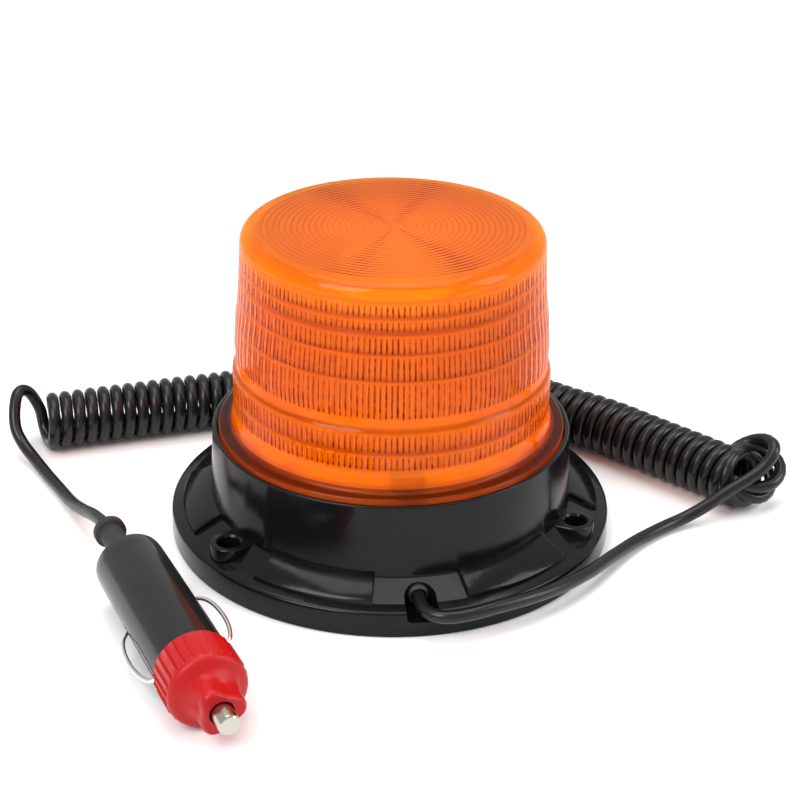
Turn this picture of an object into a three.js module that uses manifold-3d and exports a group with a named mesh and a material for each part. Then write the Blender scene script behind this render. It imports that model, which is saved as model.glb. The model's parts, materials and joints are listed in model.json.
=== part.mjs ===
// LED warning beacon with a magnetic base, a curly supply cord and a 12 V accessory plug.
// Millimetres, +Z up, the origin at the centre of the base's underside, the cable slot on the -Y side.
import * as THREE from "three";
import { mergeVertices } from "three/addons/utils/BufferGeometryUtils.js";
import Module from "manifold-3d";

const wasm = await Module();
wasm.setup();

// ---------------------------------------------------------------- driving dimensions

const GAP = 0.3; // between pieces that touch
const FIT = 0.4; // round a piece that turns or slides
const ROUND_SIDES = 48; // facets on the large rings
const SMALL_SIDES = 20; // facets on screws, bosses and holes

// base housing
const COLLAR_R = 49.8; // outer radius at the collar's top
const COLLAR_TOP = 31.5;
const COLLAR_DRAFT = 0.9; // how much wider the collar is at its foot
const FLANGE_WIDTH = 12.2; // from the collar's top radius out to the rim
const RIM_HEIGHT = 5.8; // the flange's upright edge
const SHELF_OUTER_Z = 7.6; // top of the flange just inside its rim
const SHELF_INNER_Z = 11.3; // top of the flange against the collar
const PAD_RISE = 1.3; // how far the raised arc pads stand above the shelf
const WALL = 2.4; // moulded wall
const FLOOR_SKIN = 2.6; // flange skin above its hollow underside
const REBATE_WALL = 1.2; // collar wall beside the lens skirt
const LEDGE_TOP = 25.8; // ledge that the lens seal sits on
const LEDGE_THICKNESS = 2.2;
const LEDGE_WIDTH = 3.5;
const DECK_TOP = 17; // floor under the circuit board
const DECK_THICKNESS = 2;
const PAD_EDGE_DEGREES = [12.5, 46]; // arc pads, measured either way from the slot and its twins
const SECTORS = 3; // the flange repeats three times

// mounting bosses and cover screws
const BOSS_OFFSET = 5.2; // from the collar's top radius to the boss centre
const BOSS_R = 5.2;
const BOSS_TOP = 11.6;
const BOLT_HOLE_R = 3.05;
const SCREW_PITCH_R = 43;
const SCREW_R = 1.5;
const SCREW_HEAD_R = 2.9;
const SCREW_HEAD_H = 1.5;
const PILLAR_R = 3.2;

// cable slot
const SLOT_WIDTH = 8.5;
const SLOT_FLOOR_Z = 4.2;
const SLOT_WALL_R = 52.4; // radius of the slot's inner end
const CABLE_Z = 7.2;
const CORD_R = 1.8;

// underside
const PAD_THICKNESS = 2; // rubber pad
const COVER_THICKNESS = 2.2;
const MAGNET_R = 38;
const MAGNET_HOLE_R = 9;
const MAGNET_HEIGHT = 7;
const PLATE_THICKNESS = 1.5;
const BOLT_R = 2;

// lens
const LENS_R = 41.2; // outer radius under the rounded top edge
const LENS_TOP = 89.5;
const LENS_WALL = 2.4;
const LENS_EDGE_ROUND = 3.8;
const SKIRT_PROUD = 1.2; // how far the skirt stands above the collar
const SEAL_HEIGHT = 1.3;
const BAYONET_DEPTH = 5; // how far the bayonet tube hangs below the ledge's top
const LUG_HEIGHT = 2;
const LUG_DEGREES = 12;
const LUG_NOTCH_DEGREES = 16;
const LENS_TURN_DEGREES = 25; // from locked to free

// electronics
const BOARD_THICKNESS = 1.6;
const BOARD_EDGE_GAP = 0.8;
const BOARD_SEAT_Z = 22.4;
const BOARD_PILLAR_PITCH_R = 36;
const TOWER_SIDES = 6;
const TOWER_APOTHEM = 17; // centre to the outside of an LED board
const TOWER_HEIGHT = 44;
const TOWER_CORE_WALL = 1.6;
const LED_SIZE = 5;
const LED_HEIGHT = 1.5;
const LED_ROWS = 5;

// plug, along its own axis from the rear shoulder to the tip
const PLUG_REAR_R = 9.4;
const PLUG_FRONT_R = 9.65;
const PLUG_NUT_R = 10.5;
const PLUG_BODY_LENGTH = 50;
const PLUG_SHELL_WALL = 1.9;
const PLUG_NUT_LENGTH = 12;
const PLUG_NOSE_R = 5.7;
const PLUG_NOSE_LENGTH = 8.8;
const GRIP_LENGTH = 9.4; // ribbed part of the nose cap
const SLOT_START = 22.5; // the side contacts' slots
const PLUG_PIN_R = 2.8;
const PLUG_PIN_PROUD = 5.6;
const PLUG_PIN_TRAVEL = 3;
const FUSE_R = 3.15;
const FUSE_LENGTH = 30;
const CONTACT_WIRE_R = 0.6;
const CONTACT_TRAVEL = 3.2;
const CONTACT_BULGE_R = 13.5; // how far the side contacts stand out from the plug's axis
const PLUG_REAR = [-73.9, -35.28]; // rear shoulder on the plug's axis, seen from above
const PLUG_HEADING_DEGREES = -73.8;
const PLUG_ROLL_DEGREES = 17;
const RELIEF_LENGTH = 21;

// cord: routes are lists of points in millimetres
const COIL_R = 8.65; // outside of the curly part
const BASE_LEAD = [
  [0, -53.7, 7.2],
  [0, -58, 7.2],
  [0.96, -61.6, 7.2],
  [3.6, -64.3, 7.3],
  [7.4, -65.2, 7.5],
  [12, -64.7, 7.7],
  [18.5, -62.6, 7.7],
  [25.5, -59.8, 7.4],
  [33, -55.9, 6.8],
  [41, -50.4, 5.9],
  [49, -43.3, 4.8],
  [57, -34.5, 3.4],
  [66, -25.6, 2.3],
  [75, -19.2, 2.1],
  [83, -15.6, 3],
  [90, -13.9, 6],
  [95, -13.2, 9.2],
  [99, -11.6, 11.2],
  [101.9, -9.3, 12.3],
  [102.9, -7.4, 12.6],
  [102.1, -6.3, 12.6],
  [101.1, -5.2, 12.6],
];
const COIL_AXIS = [
  [-98.5, 54.9],
  [-84, 57.6],
  [-70, 60],
  [-57, 62.3],
  [-44, 64.3],
  [-30, 67.5],
  [-14, 71.6],
  [3, 73.3],
  [20, 70.3],
  [35, 64.2],
  [48, 54.6],
  [59, 43.2],
  [71, 31.8],
  [81.5, 19],
  [89, 9.9],
  [95.7, 1.7],
  [100.6, -4.6],
];
const PLUG_LEAD = [
  [-100.1, 61, 6.8],
  [-101.7, 60.9, 7.2],
  [-102.8, 62.4, 9.8],
  [-103.5, 64.2, 13.2],
  [-104.7, 64, 15.9],
  [-106.4, 60, 15.6],
  [-107.3, 55.6, 12],
  [-107, 52, 8.2],
  [-105, 48.2, 5],
  [-101.7, 42.5, 2.8],
  [-98, 34, 2.1],
  [-94, 24.4, 2.1],
  [-90.2, 14, 3.1],
  [-86.8, 4.8, 5.6],
  [-83.6, -3.6, 8.4],
  [-80.8, -11.6, 10.2],
  [-79.8, -14.8, 10.5],
];

// ---------------------------------------------------------------- sizes that follow

const FLANGE_R = COLLAR_R + FLANGE_WIDTH;
const COLLAR_FOOT_R = COLLAR_R + COLLAR_DRAFT;
const BOSS_PITCH_R = COLLAR_R + BOSS_OFFSET;
const REBATE_R = COLLAR_R - REBATE_WALL;
const LEDGE_R = REBATE_R - LEDGE_WIDTH;
const LEDGE_UNDER = LEDGE_TOP - LEDGE_THICKNESS;
const CAVITY_R = COLLAR_R - WALL;
const SKIRT_R = REBATE_R - FIT;
const SKIRT_BOTTOM = LEDGE_TOP + SEAL_HEIGHT + 2 * GAP;
const SKIRT_TOP = COLLAR_TOP + SKIRT_PROUD;
const BAYONET_R = LEDGE_R - FIT;
const BAYONET_INNER_R = BAYONET_R - LENS_WALL;
const BAYONET_BOTTOM = LEDGE_TOP - BAYONET_DEPTH;
const BOARD_R = BAYONET_INNER_R - BOARD_EDGE_GAP;
const BOARD_BOTTOM = BOARD_SEAT_Z + GAP;
const BOARD_TOP = BOARD_BOTTOM + BOARD_THICKNESS;
const COVER_R = CAVITY_R - FIT;
const COVER_BOTTOM = PAD_THICKNESS + GAP;
const COVER_TOP = COVER_BOTTOM + COVER_THICKNESS;
const MAGNET_BOTTOM = COVER_TOP + GAP;
const MAGNET_TOP = MAGNET_BOTTOM + MAGNET_HEIGHT;
const PLATE_BOTTOM = MAGNET_TOP + GAP;
const PLATE_TOP = PLATE_BOTTOM + PLATE_THICKNESS;
const HEAD_TOP = PAD_THICKNESS;
const PLUG_FRONT = PLUG_BODY_LENGTH + GAP;
const NUT_FRONT = PLUG_FRONT + PLUG_NUT_LENGTH;
const NOSE_FRONT = NUT_FRONT + PLUG_NOSE_LENGTH;
const SECTOR_DEGREES = 360 / SECTORS;

// ---------------------------------------------------------------- solids

// A closed geometry as a manifold solid.
function solidFrom(geometry) {
  geometry.deleteAttribute("normal");
  geometry.deleteAttribute("uv");
  const merged = mergeVertices(geometry, 1e-4);
  return new wasm.Manifold(
    new wasm.Mesh({
      numProp: 3,
      vertProperties: merged.attributes.position.array,
      triVerts: new Uint32Array(merged.index.array),
    })
  );
}

// A manifold solid as a geometry, with flat facets.
function geometryFrom(solid) {
  const { vertProperties, triVerts } = solid.getMesh();
  const geometry = new THREE.BufferGeometry();
  geometry.setAttribute("position", new THREE.BufferAttribute(new Float32Array(vertProperties), 3));
  geometry.setIndex(new THREE.BufferAttribute(new Uint32Array(triVerts), 1));
  const flat = geometry.toNonIndexed();
  flat.computeVertexNormals();
  return flat;
}

const union = (...solids) => solids.reduce((a, b) => a.add(b));
const cut = (solid, ...tools) => tools.reduce((a, b) => a.subtract(b), solid);

// A profile of [radius, z] pairs, counterclockwise, turned about Z.
function turned(profile, sides = ROUND_SIDES) {
  const points = profile.map(([r, z]) => new THREE.Vector2(r, z));
  const onAxis = profile[0][0] === 0 && profile.at(-1)[0] === 0;
  if (!onAxis) points.push(points[0].clone());
  return solidFrom(new THREE.LatheGeometry(points, sides).rotateX(Math.PI / 2));
}

const disc = (r, bottom, top, sides = ROUND_SIDES) =>
  turned([[0, bottom], [r, bottom], [r, top], [0, top]], sides);

const ring = (inner, outer, bottom, top, sides = ROUND_SIDES) =>
  turned([[inner, bottom], [outer, bottom], [outer, top], [inner, top]], sides);

function post(x, y, r, bottom, top, sides = SMALL_SIDES) {
  return disc(r, bottom, top, sides).translate([x, y, 0]);
}

function block(width, depth, height, x, y, bottom) {
  return solidFrom(new THREE.BoxGeometry(width, depth, height).translate(x, y, bottom + height / 2));
}

// A point at a radius and an angle from the slot, counterclockwise from above.
function polar(radius, degrees) {
  const angle = THREE.MathUtils.degToRad(degrees);
  return [radius * Math.sin(angle), -radius * Math.cos(angle)];
}

const turn = (solid, degrees) => solid.rotate([0, 0, degrees]);

// A pie slice of a tall disc, centred on an angle from the slot.
function slice(radius, halfDegrees, centreDegrees, bottom, top) {
  const shape = new THREE.Shape();
  shape.moveTo(0, 0);
  shape.absarc(0, 0, radius, -degrees(halfDegrees), degrees(halfDegrees), false);
  const geometry = new THREE.ExtrudeGeometry(shape, {
    depth: top - bottom,
    bevelEnabled: false,
    curveSegments: 6,
  });
  return turn(solidFrom(geometry.translate(0, 0, bottom)), centreDegrees - 90);
}

function degrees(value) {
  return THREE.MathUtils.degToRad(value);
}

// A round tube along a smooth path through the points.
function tubeAlong(points, radius, sides, steps) {
  const path = new THREE.CatmullRomCurve3(points.map((p) => new THREE.Vector3(...p)));
  const section = new THREE.Shape();
  for (let i = 0; i < sides; i++) {
    const angle = (2 * Math.PI * i) / sides;
    const [x, y] = [radius * Math.cos(angle), radius * Math.sin(angle)];
    if (i === 0) section.moveTo(x, y);
    else section.lineTo(x, y);
  }
  return solidFrom(new THREE.ExtrudeGeometry(section, { steps, bevelEnabled: false, extrudePath: path }));
}

// ---------------------------------------------------------------- materials

const finish = (color, roughness, metalness = 0) =>
  new THREE.MeshStandardMaterial({ color, roughness, metalness });
const blackPlastic = () => finish(0x1c1c1e, 0.3);
const rubber = () => finish(0x141414, 0.85);
const steel = () => finish(0xb9babd, 0.35, 1);
const nickel = () => finish(0xcfcac0, 0.25, 1);

const beacon = new THREE.Group();

function add(name, solid, material, parent = beacon) {
  const mesh = new THREE.Mesh(geometryFrom(solid), material);
  mesh.name = name;
  parent.add(mesh);
}

// ---------------------------------------------------------------- base housing

const SLOT_END = BOSS_PITCH_R + FLANGE_WIDTH; // beyond the rim

function flangeSkin() {
  return turned([
    [0, 0],
    [FLANGE_R, 0],
    [FLANGE_R, RIM_HEIGHT],
    [FLANGE_R - 0.6, RIM_HEIGHT + 1.2],
    [FLANGE_R - 2, SHELF_OUTER_Z],
    [FLANGE_R - 3.6, SHELF_OUTER_Z + 0.2],
    [COLLAR_FOOT_R + 0.4, SHELF_INNER_Z],
    [COLLAR_FOOT_R, SHELF_INNER_Z + 1],
    [COLLAR_R, COLLAR_TOP],
    [0, COLLAR_TOP],
  ]);
}

// The raised ring that the arc pads are cut from.
function padRing() {
  return turned([
    [COLLAR_R - WALL, SHELF_OUTER_Z - 2],
    [FLANGE_R - 3, SHELF_OUTER_Z - 2],
    [FLANGE_R - 3.4, SHELF_OUTER_Z + PAD_RISE - 0.3],
    [FLANGE_R - 4, SHELF_OUTER_Z + PAD_RISE + 0.2],
    [COLLAR_FOOT_R + 0.6, SHELF_INNER_Z + PAD_RISE],
    [COLLAR_R - WALL, SHELF_INNER_Z + PAD_RISE],
  ]);
}

// The pads either side of the slot and of its two twins.
function arcPads() {
  const [nearEdge, farEdge] = PAD_EDGE_DEGREES;
  const halfSpan = (farEdge - nearEdge) / 2;
  const ringSolid = padRing();
  const pads = [];
  for (let sector = 0; sector < SECTORS; sector++) {
    for (const side of [-1, 1]) {
      const centre = sector * SECTOR_DEGREES + (side * (nearEdge + farEdge)) / 2;
      pads.push(ringSolid.intersect(slice(2 * FLANGE_R, halfSpan, centre, 0, COLLAR_TOP)));
    }
  }
  return pads;
}

// Round-nosed bosses round the mounting holes, each joined to the collar by a web.
function bosses() {
  return Array.from({ length: SECTORS }, (_, sector) => {
    const angle = (sector + 0.5) * SECTOR_DEGREES;
    const nose = post(...polar(BOSS_PITCH_R, 0), BOSS_R, 0, BOSS_TOP, 24);
    const web = block(
      2 * BOSS_R, BOSS_OFFSET + WALL, BOSS_TOP, 0, -BOSS_PITCH_R + (BOSS_OFFSET + WALL) / 2, 0,
    );
    return turn(union(nose, web), angle);
  });
}

function slotCutter() {
  const roundR = SLOT_WIDTH / 2;
  const height = COLLAR_TOP;
  return union(
    post(0, -(SLOT_WALL_R + roundR), roundR, SLOT_FLOOR_Z, SLOT_FLOOR_Z + height, 24),
    block(SLOT_WIDTH, SLOT_END, height, 0, -(SLOT_WALL_R + roundR + SLOT_END / 2), SLOT_FLOOR_Z)
  );
}

// The hollow under the flange, left solid round the slot and the bosses.
function flangeHollow() {
  const inner = COLLAR_FOOT_R + 0.3;
  const outer = FLANGE_R - WALL;
  const hollow = turned([
    [inner, -1],
    [outer, -1],
    [outer, SHELF_OUTER_Z - FLOOR_SKIN],
    [inner, SHELF_INNER_Z - FLOOR_SKIN],
  ]);
  const bossTubes = Array.from({ length: SECTORS }, (_, sector) =>
    post(...polar(BOSS_PITCH_R, (sector + 0.5) * SECTOR_DEGREES), BOSS_R, -2, COLLAR_TOP, 24)
  );
  const slotBlock = block(
    SLOT_WIDTH + 2 * WALL, FLANGE_R, COLLAR_TOP, 0, -(COLLAR_R - WALL + FLANGE_R / 2), -2,
  );
  return cut(hollow, slotBlock, ...bossTubes);
}

function coverPillars(bottom, top) {
  return Array.from({ length: SECTORS }, (_, sector) =>
    post(...polar(SCREW_PITCH_R, (sector + 0.5) * SECTOR_DEGREES), PILLAR_R, bottom, top)
  );
}

function boardPillars() {
  return Array.from({ length: SECTORS }, (_, sector) =>
    post(
      ...polar(BOARD_PILLAR_PITCH_R, (sector + 0.5) * SECTOR_DEGREES),
      PILLAR_R, DECK_TOP - DECK_THICKNESS, BOARD_SEAT_Z
    )
  );
}

function screwHoles(pitchR, bottom, top, r = SCREW_R + GAP) {
  return Array.from({ length: SECTORS }, (_, sector) =>
    post(...polar(pitchR, (sector + 0.5) * SECTOR_DEGREES), r, bottom, top)
  );
}

// Notches in the ledge that let the lens lugs through once the lens is turned.
function lugNotches() {
  return Array.from({ length: SECTORS }, (_, sector) =>
    slice(
      CAVITY_R, LUG_NOTCH_DEGREES / 2, sector * SECTOR_DEGREES + LENS_TURN_DEGREES,
      LEDGE_UNDER - 1, LEDGE_TOP + 1
    )
  );
}

const CABLE_HOLE_R = CORD_R + 1.4;
const CABLE_RISE_R = MAGNET_R + CORD_R + 1.2; // where the cable turns up beside the magnet

function alongY(solid, startY, z) {
  return solid.rotate([90, 0, 0]).translate([0, startY, z]);
}

const BOLT_NUT_R = 3.8;
const deckBottom = DECK_TOP - DECK_THICKNESS;

const housing = cut(
  union(flangeSkin(), ...arcPads(), ...bosses()),
  disc(REBATE_R, LEDGE_TOP, COLLAR_TOP + 1),
  disc(CAVITY_R, DECK_TOP, LEDGE_UNDER),
  disc(CAVITY_R, -1, deckBottom),
  disc(LEDGE_R, LEDGE_UNDER - 1, LEDGE_TOP + 1),
  ...lugNotches(),
  flangeHollow(),
  slotCutter(),
  ...screwHoles(BOSS_PITCH_R, -1, COLLAR_TOP, BOLT_HOLE_R),
  alongY(disc(CABLE_HOLE_R, 0, FLANGE_WIDTH, SMALL_SIDES), -CAVITY_R + 2, CABLE_Z),
  post(...polar(CABLE_RISE_R, 0), CORD_R + GAP, deckBottom - 1, DECK_TOP + 1), // cable way through the deck
  post(0, 0, BOLT_NUT_R + 1, deckBottom - 1, DECK_TOP + 1) // room for the magnet bolt's nut
);
const housingWithPillars = cut(
  union(housing, ...coverPillars(MAGNET_BOTTOM, deckBottom + 1), ...boardPillars()),
  ...screwHoles(SCREW_PITCH_R, COVER_TOP, DECK_TOP - 0.6),
  ...screwHoles(BOARD_PILLAR_PITCH_R, DECK_TOP - 1, BOARD_SEAT_Z + 1)
);
add("base_housing", housingWithPillars, blackPlastic());

// ---------------------------------------------------------------- underside

const headWells = (bottom, top) => screwHoles(SCREW_PITCH_R, bottom, top, SCREW_HEAD_R + FIT);
const magnetWell = (r, bottom, top) => post(0, 0, r, bottom, top, 24);
const BOLT_HEAD_R = 4;
const GROMMET_FLANGE = 1.6;
const grommetNotch = block(
  2 * (CABLE_HOLE_R + 1.4), WALL + GROMMET_FLANGE + 1, COVER_THICKNESS + 2,
  0, -COVER_R + (GROMMET_FLANGE + 1) / 2, COVER_BOTTOM - 1,
);

add(
  "rubber_pad",
  cut(disc(COVER_R, 0, PAD_THICKNESS), ...headWells(-1, PAD_THICKNESS + 1),
    magnetWell(BOLT_HEAD_R + FIT, -1, PAD_THICKNESS + 1)),
  rubber()
);
add(
  "base_cover",
  cut(disc(COVER_R, COVER_BOTTOM, COVER_TOP), ...screwHoles(SCREW_PITCH_R, 0, COVER_TOP + 1),
    magnetWell(BOLT_R + GAP, 0, COVER_TOP + 1), grommetNotch),
  blackPlastic()
);
add("magnet_ring", ring(MAGNET_HOLE_R, MAGNET_R, MAGNET_BOTTOM, MAGNET_TOP), finish(0x3a3a3d, 0.6, 0.3));
add("magnet_back_plate", ring(BOLT_R + GAP, MAGNET_R, PLATE_BOTTOM, PLATE_TOP), steel());

const NUT_HEIGHT = 3.2;
const NUT_BOTTOM = PLATE_TOP + GAP;
add(
  "magnet_bolt",
  union(
    magnetWell(BOLT_HEAD_R, HEAD_TOP - SCREW_HEAD_H, HEAD_TOP),
    magnetWell(BOLT_R, HEAD_TOP - 0.5, NUT_BOTTOM + NUT_HEIGHT + 1)
  ),
  steel()
);
add(
  "magnet_nut",
  cut(disc(BOLT_NUT_R, NUT_BOTTOM, NUT_BOTTOM + NUT_HEIGHT, 6), magnetWell(BOLT_R + GAP, 0, DECK_TOP + 5)),
  steel()
);

// A pan-head screw pointing up or down from its head's inner face.
function screw(x, y, headFace, tip, headR = SCREW_HEAD_R) {
  const up = Math.sign(tip - headFace);
  const headFar = headFace - up * SCREW_HEAD_H;
  const shaftStart = headFace - up * 0.5;
  return union(
    post(x, y, headR, Math.min(headFar, headFace), Math.max(headFar, headFace)),
    post(x, y, SCREW_R, Math.min(shaftStart, tip), Math.max(shaftStart, tip))
  );
}

for (let i = 0; i < SECTORS; i++) {
  const angle = (i + 0.5) * SECTOR_DEGREES;
  const coverTip = deckBottom + DECK_THICKNESS / 2;
  add(`cover_screw_${i + 1}`, screw(...polar(SCREW_PITCH_R, angle), HEAD_TOP, coverTip), steel());
  add(
    `board_screw_${i + 1}`,
    screw(...polar(BOARD_PILLAR_PITCH_R, angle), BOARD_TOP + GAP, DECK_TOP - 0.6, 2.6),
    steel()
  );
}

// ---------------------------------------------------------------- cable entry

const wallStart = CAVITY_R - 0.5;
const sleeveLength = SLOT_WALL_R - wallStart + 1.6;
const grommet = alongY(
  turned([
    [CORD_R + GAP, -GROMMET_FLANGE - GAP],
    [CABLE_HOLE_R + 0.9, -GROMMET_FLANGE - GAP],
    [CABLE_HOLE_R + 0.9, -GAP],
    [CABLE_HOLE_R - GAP, -GAP],
    [CABLE_HOLE_R - GAP, sleeveLength - 0.6],
    [CABLE_HOLE_R - 0.8, sleeveLength],
    [CORD_R + GAP, sleeveLength],
  ], SMALL_SIDES),
  -wallStart, CABLE_Z
);
add("cable_grommet", grommet, rubber());

const sheathTop = DECK_TOP + 3.4;
add(
  "cord_inner",
  tubeAlong(
    [
      [0, -SLOT_WALL_R - 1, CABLE_Z],
      [0, -CAVITY_R, CABLE_Z],
      [0, -CAVITY_R + WALL, CABLE_Z],
      [0, -CABLE_RISE_R - 1.2, CABLE_Z + 1.3],
      [0, -CABLE_RISE_R, CABLE_Z + 4.2],
      [0, -CABLE_RISE_R, sheathTop],
    ],
    CORD_R, 10, 14
  ),
  blackPlastic()
);
add(
  "cable_tie",
  post(0, -CABLE_RISE_R, CORD_R + GAP + 1.1, DECK_TOP + GAP, DECK_TOP + 2.7, 16).subtract(
    post(0, -CABLE_RISE_R, CORD_R + GAP, DECK_TOP, DECK_TOP + 4, 16)
  ),
  finish(0xd8d8d0, 0.5)
);

// ---------------------------------------------------------------- lens and its seal

// [step out from LENS_R, z] up the outside of the dome, from the skirt to the rounded edge.
const sideSteps = [
  [3.4, SKIRT_TOP + 1],
  [3.2, SKIRT_TOP + 3.6],
  [2.7, SKIRT_TOP + 6],
  [2.7, SKIRT_TOP + 16.4],
  [2.2, SKIRT_TOP + 17.2],
  [1.6, SKIRT_TOP + 18],
  [1.9, SKIRT_TOP + 24],
  [1.4, SKIRT_TOP + 32.5],
  [0.8, SKIRT_TOP + 38],
  [0.25, LENS_TOP - LENS_EDGE_ROUND - 6],
];

function edgeArc(centreR, centreZ, radius, steps) {
  return Array.from({ length: steps + 1 }, (_, i) => {
    const angle = (Math.PI / 2) * (i / steps);
    return [centreR + radius * Math.cos(angle), centreZ + radius * Math.sin(angle)];
  });
}

const edgeCentreR = LENS_R - LENS_EDGE_ROUND;
const edgeCentreZ = LENS_TOP - LENS_EDGE_ROUND;
const outside = [
  [SKIRT_R, SKIRT_BOTTOM],
  [SKIRT_R, SKIRT_TOP - 0.5],
  [SKIRT_R - 0.5, SKIRT_TOP],
  [LENS_R + 4.2, SKIRT_TOP + 0.1],
  ...sideSteps.map(([step, z]) => [LENS_R + step, z]),
  ...edgeArc(edgeCentreR, edgeCentreZ, LENS_EDGE_ROUND, 5),
];
const innerEdge = edgeArc(edgeCentreR, edgeCentreZ, LENS_EDGE_ROUND - LENS_WALL, 3);
const inside = [
  ...innerEdge.reverse(),
  ...[...sideSteps].reverse().map(([step, z]) => [LENS_R + step - LENS_WALL, z]),
];
const ROOM_R = Math.min(BAYONET_INNER_R, LENS_R + sideSteps[0][0] - LENS_WALL); // room inside the lens
const dome = turned([
  [ROOM_R, SKIRT_BOTTOM],
  ...outside,
  [0, LENS_TOP],
  [0, LENS_TOP - LENS_WALL],
  ...inside,
]);
const lugs = Array.from({ length: SECTORS }, (_, i) =>
  ring(BAYONET_INNER_R + 0.4, CAVITY_R - FIT, BAYONET_BOTTOM, BAYONET_BOTTOM + LUG_HEIGHT).intersect(
    slice(COLLAR_R, LUG_DEGREES / 2, i * SECTOR_DEGREES, BAYONET_BOTTOM - 1, LEDGE_TOP)
  )
);
const bayonetTube = ring(BAYONET_INNER_R, BAYONET_R, BAYONET_BOTTOM, SKIRT_BOTTOM + 2);
add("lens", union(dome, bayonetTube, ...lugs), finish(0xff6a10, 0.12));
add(
  "lens_seal",
  ring(LEDGE_R + 0.6, SKIRT_R - 0.5, LEDGE_TOP + GAP, LEDGE_TOP + GAP + SEAL_HEIGHT),
  rubber()
);

// ---------------------------------------------------------------- electronics

const towerBottom = BOARD_TOP + GAP;
const towerTop = towerBottom + TOWER_HEIGHT;
const coreApothem = TOWER_APOTHEM - BOARD_THICKNESS - GAP;
const hexRadius = (apothem) => apothem / Math.cos(Math.PI / TOWER_SIDES);
const WIRE_R = 0.8;
const wireHoleY = -(CABLE_RISE_R - 0.7);

const board = cut(
  disc(BOARD_R, BOARD_BOTTOM, BOARD_TOP),
  ...screwHoles(BOARD_PILLAR_PITCH_R, BOARD_BOTTOM - 1, BOARD_TOP + 1),
  post(0, wireHoleY, CABLE_HOLE_R + 0.6, BOARD_BOTTOM - 1, BOARD_TOP + 1)
);
add("circuit_board", board, finish(0xe9ece6, 0.5));

add(
  "tower_core",
  ring(hexRadius(coreApothem - TOWER_CORE_WALL), hexRadius(coreApothem), towerBottom, towerTop, TOWER_SIDES),
  finish(0xc8c9cc, 0.4, 1)
);

// A board with a column of LEDs, standing on one flat of the core.
function ledStrip(height) {
  const width = 2 * Math.tan(Math.PI / TOWER_SIDES) * (TOWER_APOTHEM - BOARD_THICKNESS) - GAP;
  const plate = block(width, BOARD_THICKNESS, height, 0, -(TOWER_APOTHEM - BOARD_THICKNESS / 2), towerBottom);
  const pitch = height / LED_ROWS;
  const leds = Array.from({ length: LED_ROWS }, (_, row) =>
    block(
      LED_SIZE, LED_HEIGHT + 0.2, LED_SIZE,
      0, -(TOWER_APOTHEM + LED_HEIGHT / 2 - 0.1), towerBottom + (row + 0.5) * pitch - LED_SIZE / 2
    )
  );
  return union(plate, ...leds);
}

for (let i = 0; i < TOWER_SIDES; i++) {
  const angle = ((i + 0.5) * 360) / TOWER_SIDES;
  add(`led_board_${i + 1}`, turn(ledStrip(TOWER_HEIGHT), angle), finish(0xf2f2ee, 0.45));
}

const topPlateBottom = towerTop + GAP;
const topLeds = Array.from({ length: TOWER_SIDES }, (_, i) => {
  const [x, y] = polar(TOWER_APOTHEM - LED_SIZE - 2, ((i + 0.5) * 360) / TOWER_SIDES);
  return block(LED_SIZE, LED_SIZE, LED_HEIGHT + 0.2, x, y, topPlateBottom + BOARD_THICKNESS - 0.2);
});
add(
  "led_board_top",
  union(
    disc(hexRadius(TOWER_APOTHEM), topPlateBottom, topPlateBottom + BOARD_THICKNESS, TOWER_SIDES),
    ...topLeds
  ),
  finish(0xf2f2ee, 0.45)
);

const partZ = BOARD_TOP + GAP;
const PART_PITCH_R = (ROOM_R + hexRadius(TOWER_APOTHEM)) / 2 + 0.65;
add(
  "inductor",
  union(
    post(...polar(PART_PITCH_R, 110), 5, partZ, partZ + 1.5),
    post(...polar(PART_PITCH_R, 110), 3.6, partZ + 1, partZ + 6),
    post(...polar(PART_PITCH_R, 110), 5, partZ + 5.5, partZ + 7)
  ),
  finish(0x9a5a2a, 0.4)
);
add("capacitor", post(...polar(PART_PITCH_R, -110), 4.5, partZ, partZ + 12), finish(0x222a55, 0.4));
const [chipX, chipY] = polar(PART_PITCH_R, 145);
add("driver_chip", block(7, 7, 1.6, chipX, chipY, partZ), finish(0x111111, 0.5));
const terminalY = -(PART_PITCH_R + 0.5);
add("wire_terminal", block(9, 6, 7, 0, terminalY, partZ), finish(0x2f7d45, 0.5));

const wireColours = { supply_wire_positive: [1.3, 0xb01818], supply_wire_negative: [-1.3, 0x101010] };
for (const [name, [x, colour]] of Object.entries(wireColours)) {
  add(
    name,
    tubeAlong(
      [
        [x * 0.75, -CABLE_RISE_R, sheathTop + GAP],
        [x * 0.9, wireHoleY, sheathTop + 2.4],
        [x, wireHoleY, BOARD_TOP + 0.4],
        [x, wireHoleY + 1.4, BOARD_TOP + 2],
        [x, terminalY - 3 - GAP, BOARD_TOP + 2],
      ],
      WIRE_R, 8, 12
    ),
    finish(colour, 0.5)
  );
}

// ---------------------------------------------------------------- plug

const plug = new THREE.Group();
plug.position.set(PLUG_REAR[0], PLUG_REAR[1], PLUG_NUT_R);
// The plug's own Z runs to the tip; its X carries the side contacts.
plug.rotation.set(0, 0, degrees(PLUG_HEADING_DEGREES));
const plugAxis = new THREE.Group();
plugAxis.rotation.set(0, Math.PI / 2, 0);
const plugRoll = new THREE.Group();
plugRoll.rotation.set(0, 0, degrees(90 + PLUG_ROLL_DEGREES));
plug.add(plugAxis);
plugAxis.add(plugRoll);
beacon.add(plug);
const PLUG_SIDES = 28;

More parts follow.
